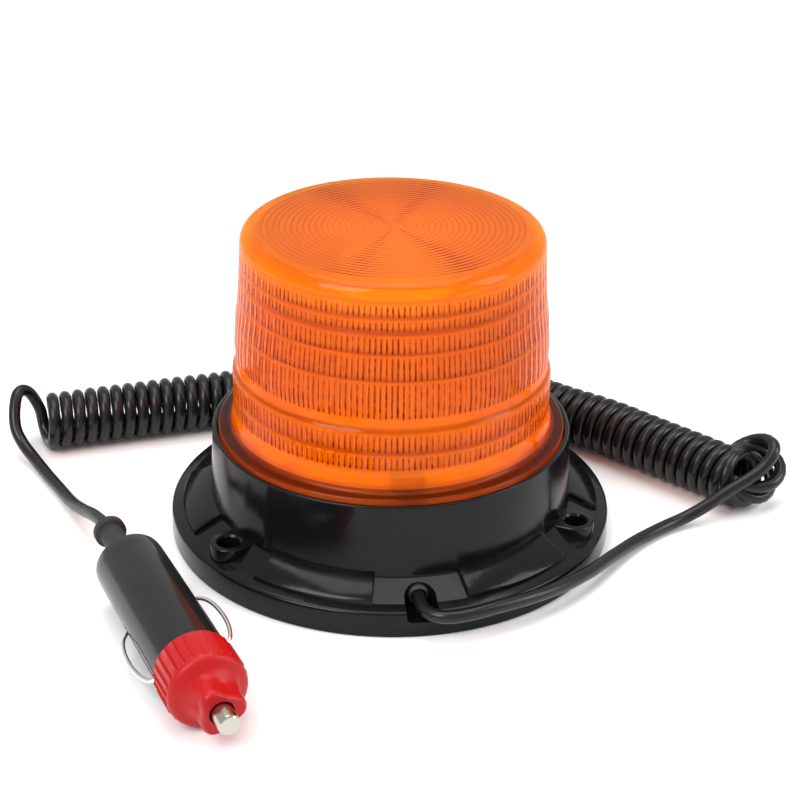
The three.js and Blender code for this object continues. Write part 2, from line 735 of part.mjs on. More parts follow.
const CABLE_BORE_R = CORD_R + GAP;
const hollowR = PLUG_REAR_R - PLUG_SHELL_WALL;
const spigotR = PLUG_FRONT_R - 1.5;
const SPIGOT_LENGTH = 6;
const plugBody = turned([
  [CABLE_BORE_R + 0.9, 1.2],
  [CABLE_BORE_R + 0.9, -1],
  [PLUG_REAR_R - 2.2, -1],
  [PLUG_REAR_R - 0.6, -0.2],
  [PLUG_REAR_R, 1.6],
  [PLUG_FRONT_R, PLUG_BODY_LENGTH],
  [spigotR, PLUG_BODY_LENGTH],
  [spigotR, PLUG_BODY_LENGTH + SPIGOT_LENGTH],
  [hollowR, PLUG_BODY_LENGTH + SPIGOT_LENGTH],
  [hollowR, 1.2],
], PLUG_SIDES);
const contactSlots = [-1, 1].map((side) =>
  block(PLUG_NUT_R, 2 * (CONTACT_WIRE_R + FIT), PLUG_BODY_LENGTH + 10 - SLOT_START,
    side * (hollowR - 2 + PLUG_NUT_R / 2), 0, SLOT_START)
);
const halfSpace = (side) =>
  block(4 * PLUG_NUT_R, 2 * PLUG_NUT_R, 2 * PLUG_BODY_LENGTH, 0, side * (PLUG_NUT_R + GAP / 2), -20);
for (const [name, side] of [["plug_shell_upper", 1], ["plug_shell_lower", -1]]) {
  add(name, cut(plugBody, ...contactSlots).intersect(halfSpace(side)), blackPlastic(), plugRoll);
}

// The nose cap screws over the spigot and holds the shells, the fuse and the tip together.
const threadR = spigotR + FIT;
const pinHoleR = PLUG_PIN_R + FIT;
const noseBoreR = PLUG_PIN_R + 1.4;
const NOSE_WALL = 2.5;
const noseCap = turned([
  [threadR, PLUG_FRONT],
  [PLUG_NUT_R - 0.2, PLUG_FRONT],
  [PLUG_NUT_R, PLUG_FRONT + 0.4],
  [PLUG_NUT_R, PLUG_FRONT + GRIP_LENGTH],
  [PLUG_NUT_R - 0.5, NUT_FRONT - 1],
  [PLUG_NUT_R - 1.6, NUT_FRONT],
  [PLUG_NOSE_R + 1.4, NUT_FRONT + 1],
  [PLUG_NOSE_R + 0.3, NUT_FRONT + 2.6],
  [PLUG_NOSE_R, NUT_FRONT + 4.5],
  [PLUG_NOSE_R, NOSE_FRONT - 1],
  [PLUG_NOSE_R - 1, NOSE_FRONT],
  [pinHoleR, NOSE_FRONT],
  [pinHoleR, NOSE_FRONT - NOSE_WALL],
  [noseBoreR, NOSE_FRONT - NOSE_WALL],
  [noseBoreR, NUT_FRONT - 3],
  [threadR, NUT_FRONT - 3],
], PLUG_SIDES);
add("plug_nose_cap", noseCap, finish(0xe0262c, 0.35), plugRoll);

// The fuse and the tip pin slide back together against the spring.
const pinShoulderFront = NOSE_FRONT - NOSE_WALL - GAP;
const pinRear = pinShoulderFront - 6;
const fuseFront = pinRear - GAP;
const fuseRear = fuseFront - FUSE_LENGTH;
add(
  "plug_tip_pin",
  turned([
    [0, pinRear],
    [PLUG_PIN_R + 1, pinRear],
    [PLUG_PIN_R + 1, pinShoulderFront],
    [PLUG_PIN_R, pinShoulderFront],
    [PLUG_PIN_R, NOSE_FRONT + PLUG_PIN_PROUD - 0.5],
    [PLUG_PIN_R - 0.5, NOSE_FRONT + PLUG_PIN_PROUD],
    [0, NOSE_FRONT + PLUG_PIN_PROUD],
  ], SMALL_SIDES),
  nickel(), plugRoll
);
add(
  "plug_fuse",
  turned([
    [0, fuseRear],
    [FUSE_R, fuseRear],
    [FUSE_R, fuseRear + 6],
    [FUSE_R - 0.3, fuseRear + 6.2],
    [FUSE_R - 0.3, fuseFront - 6.2],
    [FUSE_R, fuseFront - 6],
    [FUSE_R, fuseFront],
    [0, fuseFront],
  ], SMALL_SIDES),
  nickel(), plugRoll
);
const SPRING_LENGTH = 14;
const SPRING_R = 2.9;
const springRear = fuseRear - GAP - SPRING_LENGTH;
add(
  "plug_tip_spring",
  turned([
    [SPRING_R - 1, springRear],
    [SPRING_R, springRear],
    [SPRING_R, fuseRear - GAP],
    [SPRING_R - 1, fuseRear - GAP],
  ], SMALL_SIDES),
  steel(), plugRoll
);
add(
  "plug_spring_seat",
  union(
    disc(hollowR - GAP, springRear - GAP - 2, springRear - GAP, PLUG_SIDES),
    disc(SPRING_R - 1 - GAP, springRear - GAP - 1, springRear + 2, SMALL_SIDES)
  ),
  finish(0xb8923c, 0.35, 1), plugRoll
);

// Sprung wire hoops that touch the socket's wall, each pushed in through its slot.
const anchorR = FUSE_R + GAP + CONTACT_TRAVEL + 2 * CONTACT_WIRE_R;
const hoopStart = SLOT_START + 1.8 + CONTACT_WIRE_R;
const hoopEnd = PLUG_BODY_LENGTH - 0.6 - CONTACT_WIRE_R;
const hoopLength = hoopEnd - hoopStart;
for (const [name, side] of [["plug_contact_left", -1], ["plug_contact_right", 1]]) {
  const bulge = CONTACT_BULGE_R - CONTACT_WIRE_R;
  const hoop = [
    [anchorR, hoopStart + 5],
    [anchorR, hoopStart + 1.5],
    [anchorR + 1.6, hoopStart],
    [bulge - 2, hoopStart + 0.1 * hoopLength],
    [bulge - 0.3, hoopStart + 0.35 * hoopLength],
    [bulge, hoopStart + 0.6 * hoopLength],
    [bulge - 0.9, hoopStart + 0.82 * hoopLength],
    [bulge - 2.8, hoopEnd - 0.7],
    [anchorR + 1, hoopEnd],
  ];
  add(name, tubeAlong(hoop.map(([r, z]) => [side * r, 0, z]), CONTACT_WIRE_R, 6, 24), nickel(), plugRoll);
}

// ---------------------------------------------------------------- cord and its strain relief

const reliefTip = -1 - RELIEF_LENGTH;
add(
  "plug_strain_relief",
  turned([
    [CABLE_BORE_R, reliefTip],
    [CABLE_BORE_R + 0.7, reliefTip],
    [CABLE_BORE_R + 1, reliefTip + 1.2],
    [CABLE_BORE_R + 2.4, reliefTip + 1.6],
    [CABLE_BORE_R + 2.4, reliefTip + 3.6],
    [CABLE_BORE_R + 1.1, reliefTip + 4.2],
    [CABLE_BORE_R + 1.5, -8],
    [CABLE_BORE_R + 2.6, -1 - GAP],
    [CABLE_BORE_R, -1 - GAP],
  ], SMALL_SIDES),
  rubber(), plugRoll
);
add("cord_tail_plug", disc(CORD_R, reliefTip + 1, 10, 10), blackPlastic(), plugRoll);

const LEAD_SIDES = 8;
add("cord_lead_base", tubeAlong(BASE_LEAD, CORD_R, LEAD_SIDES, 40), blackPlastic());
add("cord_coil", tubeAlong(COIL_AXIS.map(([x, y]) => [x, y, COIL_R + 0.05]), COIL_R, 16, 30), blackPlastic());
add("cord_lead_plug", tubeAlong(PLUG_LEAD, CORD_R, LEAD_SIDES, 36), blackPlastic());

export default beacon;
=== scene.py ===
"""Looks of the LED warning beacon: lens, housing, curly cord and 12 V plug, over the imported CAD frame."""

import json
import math

import bmesh
import bpy
from mathutils import Matrix, Vector


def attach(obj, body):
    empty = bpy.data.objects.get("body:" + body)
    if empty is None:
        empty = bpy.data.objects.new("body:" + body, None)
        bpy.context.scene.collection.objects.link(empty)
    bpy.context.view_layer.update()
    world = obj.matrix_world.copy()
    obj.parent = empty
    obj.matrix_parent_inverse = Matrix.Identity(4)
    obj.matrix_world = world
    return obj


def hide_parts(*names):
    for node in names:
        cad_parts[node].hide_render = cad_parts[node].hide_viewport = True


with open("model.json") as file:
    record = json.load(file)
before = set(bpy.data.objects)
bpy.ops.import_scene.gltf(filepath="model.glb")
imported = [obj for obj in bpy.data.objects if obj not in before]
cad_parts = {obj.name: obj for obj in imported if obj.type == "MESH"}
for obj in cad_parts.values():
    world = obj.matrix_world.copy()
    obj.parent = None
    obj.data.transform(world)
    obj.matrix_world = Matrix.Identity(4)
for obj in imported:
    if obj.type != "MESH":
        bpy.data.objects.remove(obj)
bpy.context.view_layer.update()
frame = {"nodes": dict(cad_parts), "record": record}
nodes = frame["nodes"]

MM = 0.001
TURN = 2 * math.pi

# Lens sizes in millimetres, which its material and its mesh both follow.
LENS_TOP = 89.5
SKIRT_TOP = 34.0
FLUTES = 90
STEPPED_BAND = 53.2  # the band above the place where the wall steps out
# Bands of flutes, low and high. Plain rings part them.
FLUTE_BANDS = [
    (81.0, 84.3), (77.3, 79.9), (71.1, 75.7), (64.0, 70.3), (STEPPED_BAND, 63.2), (44.1, 48.9),
    (38.9, 42.8),
]
TOP_RING_STEP = 1.6
TOP_RINGS_R = 36.2


# ---------------------------------------------------------------- camera, floor and light


def make_camera():
    right = Vector((0.98965, -0.14291, 0.01315))
    up = Vector((0.05233, 0.44469, 0.89415))
    forward = Vector((0.13363, 0.88421, -0.44757))
    data = bpy.data.cameras.new("camera")
    data.lens = 85.5
    data.sensor_width = 36
    data.clip_start = 0.01
    data.clip_end = 10
    camera = bpy.data.objects.new("camera", data)
    turn = Matrix((right, up, -forward)).transposed().to_4x4()
    camera.matrix_world = Matrix.Translation((-0.06842, -0.46901, 0.27487)) @ turn
    bpy.context.scene.collection.objects.link(camera)
    bpy.context.scene.camera = camera


def area_light(name, place, size, power, target=(0, 0, 0.03)):
    data = bpy.data.lights.new(name, "AREA")
    data.shape = "RECTANGLE"
    data.size, data.size_y = size
    data.energy = power
    light = bpy.data.objects.new(name, data)
    light.location = place
    light.rotation_euler = (Vector(target) - Vector(place)).to_track_quat("-Z", "Y").to_euler()
    bpy.context.scene.collection.objects.link(light)


def make_light():
    area_light("key_light", (-0.55, -0.45, 0.75), (0.5, 0.5), 6)
    area_light("fill_light", (0.75, -0.25, 0.5), (0.35, 0.6), 3.4)
    area_light("top_light", (0, 0.15, 1.1), (0.9, 0.9), 8)
    world = bpy.data.worlds.new("studio")
    world.use_nodes = True
    background = world.node_tree.nodes["Background"]
    background.inputs["Color"].default_value = (1, 1, 1, 1)
    background.inputs["Strength"].default_value = 0.7
    bpy.context.scene.world = world
    bpy.context.scene.view_settings.view_transform = "Standard"


# ---------------------------------------------------------------- materials


def node(tree, kind, **settings):
    made = tree.nodes.new(kind)
    for name, value in settings.items():
        setattr(made, name, value)
    return made


def new_material(name):
    """A node material with its shader, and its object coordinates as a source for textures."""
    material = bpy.data.materials.new(name)
    material.use_nodes = True
    tree = material.node_tree
    return material, tree, tree.nodes["Principled BSDF"], node(tree, "ShaderNodeTexCoord").outputs["Object"]


def noise(tree, place, scale, detail=3):
    made = node(tree, "ShaderNodeTexNoise")
    made.inputs["Scale"].default_value = scale
    made.inputs["Detail"].default_value = detail
    tree.links.new(place, made.inputs["Vector"])
    return made.outputs["Fac"]


def ranged(tree, value, low, high):
    made = node(tree, "ShaderNodeMapRange")
    made.inputs["From Min"].default_value = 0.3
    made.inputs["From Max"].default_value = 0.7
    made.inputs["To Min"].default_value = low
    made.inputs["To Max"].default_value = high
    tree.links.new(value, made.inputs["Value"])
    return made.outputs["Result"]


def mixed(tree, factor, a, b):
    made = node(tree, "ShaderNodeMix", data_type="RGBA")
    made.inputs[6].default_value = (*a, 1)
    made.inputs[7].default_value = (*b, 1)
    tree.links.new(factor, made.inputs[0])
    return made.outputs[2]


def bump(tree, height, strength, distance):
    made = node(tree, "ShaderNodeBump")
    made.inputs["Strength"].default_value = strength
    made.inputs["Distance"].default_value = distance
    tree.links.new(height, made.inputs["Height"])
    return made.outputs["Normal"]


def moulded(name, colour, tint, rough, grain=900, strength=0.08, metal=0.0, specular=0.5):
    """A moulded, plated or rubbery surface: slow colour drift, uneven gloss and a fine grain."""
    material, tree, shader, place = new_material(name)
    tree.links.new(mixed(tree, noise(tree, place, 45), colour, tint), shader.inputs["Base Color"])
    tree.links.new(ranged(tree, noise(tree, place, 160), *rough), shader.inputs["Roughness"])
    tree.links.new(bump(tree, noise(tree, place, grain), strength, 0.0002), shader.inputs["Normal"])
    shader.inputs["Metallic"].default_value = metal
    shader.inputs["Specular IOR Level"].default_value = specular
    return material


def maths(tree, operation, *values, clamp=False):
    """A math node: each value is a number or another node's output."""
    made = node(tree, "ShaderNodeMath", operation=operation, use_clamp=clamp)
    for socket, value in zip(made.inputs, values):
        if isinstance(value, (int, float)):
            socket.default_value = value
        else:
            tree.links.new(value, socket)
    return made.outputs[0]


def band_mask(tree, z):
    """1 on the bands of flutes and 0 on the plain rings between them."""
    ramp = node(tree, "ShaderNodeValToRGB")
    tree.links.new(maths(tree, "DIVIDE", z, LENS_TOP * MM), ramp.inputs["Fac"])
    stops = []
    for low, high in sorted(FLUTE_BANDS):
        stops += [(low - 0.2, 0), (low + 0.5, 1), (high - 0.5, 0.8), (high + 0.2, 0)]
    for place, value in stops:
        stop = ramp.color_ramp.elements.new(place / LENS_TOP)
        stop.color = (value, value, value, 1)
    for stop in (ramp.color_ramp.elements[0], ramp.color_ramp.elements[-1]):
        stop.color = (0, 0, 0, 1)
    return ramp.outputs["Color"]


def painted_flute_lines(tree, place, angle, band):
    """Painted shade: two uneven lines of it for each flute, on the bands only."""
    double = maths(tree, "COSINE", maths(tree, "MULTIPLY", angle, 2 * FLUTES))
    uneven = ranged(tree, noise(tree, place, 420, 2), -0.75, 0.2)
    lines = maths(tree, "MULTIPLY_ADD", double, 1.3, uneven, clamp=True)
    return maths(tree, "MULTIPLY", lines, band)


def top_ring_shade(tree, x, y, z, angle):
    """Painted shade in fine rings in the top, stronger along four arms, which are a painted reflection of
    the lights in the rings.
    """
    squares = [maths(tree, "MULTIPLY", side, side) for side in (x, y)]
    out = maths(tree, "SQRT", maths(tree, "ADD", *squares))
    rings = maths(tree, "COSINE", maths(tree, "MULTIPLY", out, TURN / (TOP_RING_STEP * MM)))
    rings = maths(tree, "MULTIPLY_ADD", rings, 1.2, -0.2, clamp=True)
    # Four arms of painted reflection, where the lights show in the rings, make the rings' painted shade
    # stronger.
    fold = maths(tree, "COSINE", maths(tree, "MULTIPLY", angle, 2))
    off_arm = maths(tree, "ABSOLUTE", maths(tree, "ADD", fold, 0.6))
    arms = maths(tree, "MULTIPLY_ADD", off_arm, -2.4, 1.0, clamp=True)
    rings = maths(tree, "MULTIPLY", rings, maths(tree, "MULTIPLY_ADD", arms, 0.75, 0.3))
    on_top = maths(tree, "GREATER_THAN", z, (LENS_TOP - 0.4) * MM)
    flat = maths(tree, "MULTIPLY", on_top, maths(tree, "LESS_THAN", out, TOP_RINGS_R * MM))
    return maths(tree, "MULTIPLY", rings, flat)


def lens_painted_shade(tree, place):
    """How much painted shade the lens has at a place (on the flute lines, the top rings and the skirt), and
    the flutes' wave.
    """
    split = node(tree, "ShaderNodeSeparateXYZ")
    tree.links.new(place, split.inputs[0])
    x, y, z = split.outputs
    angle = maths(tree, "ARCTAN2", y, x)
    band = band_mask(tree, z)
    wave = maths(tree, "MULTIPLY", maths(tree, "COSINE", maths(tree, "MULTIPLY", angle, FLUTES)), band)
    flutes = painted_flute_lines(tree, place, angle, band)
    rings = top_ring_shade(tree, x, y, z, angle)
    # Painted shade over the skirt, below its top.
    skirt = maths(tree, "MULTIPLY", maths(tree, "LESS_THAN", z, SKIRT_TOP * MM), 0.7)
    shade_marks = maths(tree, "ADD", maths(tree, "ADD", flutes, rings), skirt, clamp=True)
    return shade_marks, wave


def lens_material():
    """Clear orange plastic with painted shade in its moulded grooves and lines, and light passes in to the
    parts behind it.
    """
    material, tree, shader, place = new_material("orange_lens")
    groove = node(tree, "ShaderNodeAttribute", attribute_name="groove").outputs["Fac"]
    shade_marks, wave = lens_painted_shade(tree, place)
    painted_shade = maths(tree, "MAXIMUM", groove, shade_marks)
    # Painted shade: the orange turns deep red-brown in the grooves, on the flute lines, top rings and skirt;
    # the translucent colour below darkens with it.
    tree.links.new(mixed(tree, painted_shade, (1.0, 0.68, 0.03), (0.28, 0.022, 0.0)), shader.inputs["Base Color"])
    tree.links.new(ranged(tree, noise(tree, place, 60), 0.015, 0.05), shader.inputs["Roughness"])
    tree.links.new(bump(tree, wave, 0.35, 0.0004), shader.inputs["Normal"])
    shader.inputs["Transmission Weight"].default_value = 1
    shader.inputs["IOR"].default_value = 1.38
    shader.inputs["Specular IOR Level"].default_value = 0.3
    through = node(tree, "ShaderNodeBsdfTransparent")
    through.inputs["Color"].default_value = (1.0, 0.6, 0.16, 1)
    glow = node(tree, "ShaderNodeBsdfTranslucent")
    tree.links.new(mixed(tree, painted_shade, (1.0, 0.5, 0.003), (0.15, 0.01, 0.0)), glow.inputs["Color"])
    body = node(tree, "ShaderNodeMixShader")
    body.inputs["Fac"].default_value = 0.55
    tree.links.new(shader.outputs[0], body.inputs[1])
    tree.links.new(glow.outputs[0], body.inputs[2])
    shadow = node(tree, "ShaderNodeMixShader")
    tree.links.new(node(tree, "ShaderNodeLightPath").outputs["Is Shadow Ray"], shadow.inputs["Fac"])
    tree.links.new(body.outputs[0], shadow.inputs[1])
    tree.links.new(through.outputs[0], shadow.inputs[2])
    tree.links.new(shadow.outputs[0], tree.nodes["Material Output"].inputs["Surface"])
    return material


BASE_BLACK = moulded(
    "base_black", (0.003, 0.003, 0.0035), (0.006, 0.006, 0.007), (0.1, 0.2), specular=0.2
)
CORD_BLACK = moulded(
    "cord_black", (0.005, 0.005, 0.005), (0.01, 0.01, 0.011), (0.2, 0.32), grain=500, specular=0.3
)
PLUG_BLACK = moulded("plug_black", (0.008, 0.008, 0.008), (0.014, 0.014, 0.014), (0.12, 0.22), specular=0.4)
RUBBER = moulded("soft_rubber", (0.01, 0.01, 0.01), (0.022, 0.021, 0.02), (0.6, 0.8), strength=0.3)
CAP_RED = moulded(
    "cap_red", (0.36, 0.003, 0.004), (0.43, 0.005, 0.007), (0.3, 0.42), strength=0.12, specular=0.25
)
NICKEL = moulded("nickel", (0.42, 0.39, 0.34), (0.56, 0.53, 0.48), (0.12, 0.26), metal=1, strength=0.05)
SPRING_WIRE = moulded(
    "spring_wire", (0.72, 0.73, 0.72), (0.86, 0.87, 0.86), (0.15, 0.28), metal=1, strength=0.05
)
LENS = lens_material()
CAD_FINISHES = {
    "zinc_steel": moulded("zinc_steel", (0.5, 0.5, 0.5), (0.66, 0.66, 0.64), (0.25, 0.45), metal=1),
    "ferrite": moulded("ferrite", (0.05, 0.05, 0.05), (0.09, 0.09, 0.1), (0.5, 0.7), strength=0.3),
    "base_plastic": BASE_BLACK,
    "soft_rubber": RUBBER,
    "cord_jacket": CORD_BLACK,
    "tie_nylon": moulded("tie_nylon", (0.72, 0.72, 0.68), (0.82, 0.82, 0.78), (0.35, 0.5)),
    "board_white": moulded("board_white", (0.8, 0.8, 0.78), (0.9, 0.9, 0.87), (0.3, 0.45)),
    "tower_aluminium": moulded("tower_aluminium", (0.7, 0.7, 0.72), (0.8, 0.8, 0.8), (0.3, 0.45), metal=1),
    "winding": moulded(
        "winding", (0.45, 0.2, 0.07), (0.6, 0.32, 0.14), (0.25, 0.4), grain=2500, strength=0.4
    ),
    "capacitor_sleeve": moulded("capacitor_sleeve", (0.06, 0.08, 0.22), (0.1, 0.12, 0.3), (0.25, 0.4)),
    "chip_black": moulded("chip_black", (0.02, 0.02, 0.02), (0.04, 0.04, 0.04), (0.5, 0.65), strength=0.3),
    "terminal_green": moulded("terminal_green", (0.06, 0.32, 0.12), (0.1, 0.42, 0.17), (0.35, 0.5)),
    "wire_red": moulded("wire_red", (0.5, 0.03, 0.02), (0.6, 0.05, 0.04), (0.3, 0.45)),
    "wire_black": moulded("wire_black", (0.01, 0.01, 0.01), (0.02, 0.02, 0.02), (0.3, 0.45)),
    "fuse_glass": moulded("fuse_glass", (0.7, 0.7, 0.68), (0.82, 0.82, 0.8), (0.12, 0.25), metal=1),
    "spring_steel": moulded("spring_steel", (0.5, 0.5, 0.52), (0.62, 0.62, 0.64), (0.25, 0.4), metal=1),
    "seat_brass": moulded("seat_brass", (0.6, 0.44, 0.2), (0.7, 0.54, 0.27), (0.25, 0.4), metal=1),
}
FLOOR = moulded("floor_paper", (0.9, 0.9, 0.9), (0.93, 0.93, 0.93), (0.6, 0.75), grain=300)


def paint_cad_nodes():
    slots = {row["node"]: row["material_slot"] for row in frame["record"]["subparts"]}
    for name, slot in slots.items():
        if slot in CAD_FINISHES:
            nodes[name].material_slots[0].material = CAD_FINISHES[slot]


# ---------------------------------------------------------------- meshes


def soften(mesh, degrees=32):
    """Smooth shading, with edges sharper than the angle kept crisp."""
    work = bmesh.new()
    work.from_mesh(mesh)
    limit = math.radians(degrees)
    for edge in work.edges:
        edge.smooth = len(edge.link_faces) == 2 and edge.calc_face_angle(0) < limit
    for face in work.faces:
        face.smooth = True
    work.to_mesh(mesh)
    work.free()


def piece(name, mesh, material):
    made = bpy.data.objects.new(name, mesh)
    mesh.materials.clear()
    mesh.materials.append(material)
    bpy.context.scene.collection.objects.link(made)
    return made


def mesh_from(name, points, faces):
    """A closed mesh in metres from points in millimetres, with its faces turned outward."""
    mesh = bpy.data.meshes.new(name)
    mesh.from_pydata([tuple(c * MM for c in p) for p in points], [], faces)
    work = bmesh.new()
    work.from_mesh(mesh)
    bmesh.ops.recalc_face_normals(work, faces=work.faces)
    work.to_mesh(mesh)
    work.free()
    return mesh


def arc_corner(before, corner, after, radius, steps=4):
    """Points that round one corner of a profile."""
    corner, before, after = Vector(corner), Vector(before), Vector(after)
    a, b = (before - corner).normalized(), (after - corner).normalized()
    half = a.angle(b) / 2
    reach = min(radius / math.tan(half), 0.49 * (before - corner).length, 0.49 * (after - corner).length)
    start, end = corner + a * reach, corner + b * reach
    rounded = []
    for i in range(steps + 1):
        t = i / steps
        rounded.append(tuple(start * (1 - t) ** 2 + corner * 2 * t * (1 - t) + end * t * t))
    return rounded


def rounded_profile(corners):
    """A closed profile of [r, z, fillet] corners, with each corner rounded by its fillet."""
    made = []
    for i, (r, z, fillet) in enumerate(corners):
        if fillet == 0:
            made.append((r, z))
        else:
            before, after = corners[i - 1][:2], corners[(i + 1) % len(corners)][:2]
            made += arc_corner(before, (r, z), after, fillet)
    return made


def revolved(name, profile, sides=192, wobble=None):
    """A closed ring turned about Z from a closed profile; wobble(angle, r, z) gives a step outward."""
    points, faces, count = [], [], len(profile)
    for j in range(sides):
        angle = TURN * j / sides
        for r, z in profile:
            out = r + (wobble(angle, r, z) if wobble else 0)
            points.append((out * math.sin(angle), -out * math.cos(angle), z))
    for j in range(sides):
        k = (j + 1) % sides
        for i in range(count):
            n = (i + 1) % count
            faces.append((j * count + i, j * count + n, k * count + n, k * count + i))
    return mesh_from(name, points, faces)


def solid_of_turn(name, profile, sides=64):
    """A solid turned about Z from an open profile whose two ends lie on the axis."""
    points = [(0, 0, profile[0][1])]
    rings = profile[1:-1]
    for r, z in rings:
        points += [
            (r * math.sin(TURN * j / sides), -r * math.cos(TURN * j / sides), z) for j in range(sides)
        ]
    points.append((0, 0, profile[-1][1]))
    last, faces = len(points) - 1, []
    for j in range(sides):
        k = (j + 1) % sides
        faces.append((0, 1 + k, 1 + j))
        for i in range(len(rings) - 1):
            a, b = 1 + i * sides, 1 + (i + 1) * sides
            faces.append((a + j, a + k, b + k, b + j))
        a = 1 + (len(rings) - 1) * sides
        faces.append((a + j, a + k, last))
    return mesh_from(name, points, faces)


def prism(name, outline, bottom, top):
    """A straight prism over a closed outline of [x, y] points."""
    count = len(outline)
    points = [(x, y, bottom) for x, y in outline] + [(x, y, top) for x, y in outline]
    faces = [tuple(range(count)), tuple(range(count, 2 * count))]
    faces += [(i, (i + 1) % count, count + (i + 1) % count, count + i) for i in range(count)]
    return mesh_from(name, points, faces)


def bevel_edges(mesh, width, segments=3, keep=lambda edge: True, sharper=30):
    """Rounds the mesh's sharp edges that keep() picks, by a width in millimetres."""
    work = bmesh.new()
    work.from_mesh(mesh)
    edges = [
        e for e in work.edges
        if len(e.link_faces) == 2 and e.calc_face_angle(0) > math.radians(sharper) and keep(e)
    ]
    bmesh.ops.bevel(
        work, geom=edges, offset=width * MM, segments=segments, profile=0.5, affect="EDGES",
        clamp_overlap=True,
    )
    work.to_mesh(mesh)
    work.free()
    return mesh


def moved(mesh, matrix):
    mesh.transform(matrix)
    return mesh


def joined(name, meshes):
    work = bmesh.new()
    for mesh in meshes:
        work.from_mesh(mesh)
    made = bpy.data.meshes.new(name)
    work.to_mesh(made)
    work.free()
    return made


def combine(mesh, tool, operation):
    """The mesh joined with, cut by or limited to the tool."""
    scene = bpy.context.scene.collection
    body, cutter = bpy.data.objects.new("body", mesh), bpy.data.objects.new("cutter", tool)
    scene.objects.link(body)
    scene.objects.link(cutter)
    change = body.modifiers.new("combine", "BOOLEAN")
    change.operation = operation
    change.solver = "EXACT"
    change.object = cutter
    made = bpy.data.meshes.new_from_object(body.evaluated_get(bpy.context.evaluated_depsgraph_get()))
    bpy.data.objects.remove(body)
    bpy.data.objects.remove(cutter)
    return made


def curve_through(points, per_span):
    """Points along a smooth line through the given ones."""
    p = [Vector(q) for q in points]
    p = [2 * p[0] - p[1]] + p + [2 * p[-1] - p[-2]]
    made = []
    for i in range(1, len(p) - 2):
        for step in range(per_span):
            t = step / per_span
            made.append(
                0.5 * (
                    2 * p[i] + (p[i + 1] - p[i - 1]) * t
                    + (2 * p[i - 1] - 5 * p[i] + 4 * p[i + 1] - p[i + 2]) * t * t
                    + (3 * p[i] - p[i - 1] - 3 * p[i + 1] + p[i + 2]) * t ** 3
                )
            )
    return made + [p[-2]]


def tube(name, line, radius, sides=12):
    """A round bar along a line of points, closed at its ends."""
    points, faces = [], []
    side = (line[1] - line[0]).orthogonal().normalized()
    for i, here in enumerate(line):
        along = (line[min(i + 1, len(line) - 1)] - line[max(i - 1, 0)]).normalized()
        side = (side - side.dot(along) * along).normalized()
        other = along.cross(side)
        for j in range(sides):
            angle = TURN * j / sides
            points.append(here + radius * (math.cos(angle) * side + math.sin(angle) * other))
    for i in range(len(line) - 1):
        for j in range(sides):
            k = (j + 1) % sides
            faces.append((i * sides + j, i * sides + k, (i + 1) * sides + k, (i + 1) * sides + j))
    faces.append(tuple(range(sides)))
    faces.append(tuple(range(len(points) - sides, len(points))))
    return mesh_from(name, points, faces)


# ---------------------------------------------------------------- cord

CORD_D = 3.6
CABLE_Z = 7.2
BASE_LEAD = [
    (0, -53.7, 7.2), (0, -58, 7.2), (0.96, -61.6, 7.2), (3.6, -64.3, 7.3), (7.4, -65.2, 7.5),
    (12, -64.7, 7.7), (18.5, -62.6, 7.7), (25.5, -59.8, 7.4), (33, -55.9, 6.8), (41, -50.4, 5.9),
    (49, -43.3, 4.8), (57, -34.5, 3.4), (66, -25.6, 2.3), (75, -19.2, 2.1), (83, -15.6, 3),
    (89, -14.3, 5.4), (94.3, -13.4, 8.5), (99, -12.4, 10.8), (103.2, -11.3, 12.6), (107.3, -9.7, 14.9),
    (110.4, -7.4, 17.9),
]
COIL_AXIS = [
    (100.6, -4.6), (95.7, 1.7), (89, 9.9), (81.5, 19), (71, 31.8), (59, 43.2), (48, 54.6), (35, 64.2),
    (20, 70.3), (3, 73.3), (-14, 71.6), (-30, 67.5), (-44, 64.3), (-57, 62.3), (-70, 60), (-84, 57.6),
    (-98.5, 54.9),
]
COIL_Z = 8.7
TURN_R = 6.85
COIL_TURNS = 60
POINTS_PER_TURN = 22
# The first turns stand up and fan out: centre, facing and radius of the rings, one turn apart.
FANNED_RINGS = [
    ((104.5, -4.1, 15), (-0.54, -0.08, 0.84), 7.6),
    ((106, -4.2, 11.5), (-0.1, -0.5, 0.86), 7.8),
    ((104.5, -5, 9.6), (0.3, -0.65, 0.7), 7.5),
    ((102.2, -5.2, 8.9), (0.55, -0.75, 0.3), 7.0),
    ((100.6, -4.6, COIL_Z), (0.63, -0.77, 0), TURN_R),
]
START_DEGREES = -42
PLUG_LEAD = [
    (-101.2, 62.9, 12), (-102.9, 63.1, 14.8), (-104.9, 61.9, 16.3), (-106.5, 59.5, 15.6), (-107.3, 55.6, 12),
    (-107, 52, 8.2), (-105, 48.2, 5), (-101.7, 42.5, 2.8), (-98, 34, 2.1), (-94, 24.4, 2.1),
    (-90.2, 14, 3.1), (-86.8, 4.8, 5.6), (-83.6, -3.6, 8.4), (-80.8, -11.6, 10.2), (-79.8, -14.8, 10.5),
    (-76.9, -25, 10.5), (-71.1, -44.9, 10.5),
]


def ring_point(centre, facing, radius, angle):
    """A point on a ring, counterclockwise as seen from the side that it faces."""
    facing = Vector(facing).normalized()
    level = Vector((0.77, 0.63, 0)) if abs(facing.z) > 1e-6 else Vector((0, 0, 1)).cross(facing)
    first = (level - level.dot(facing) * facing).normalized()
    second = facing.cross(first)
    return Vector(centre) + radius * (math.cos(angle) * first + math.sin(angle) * second)


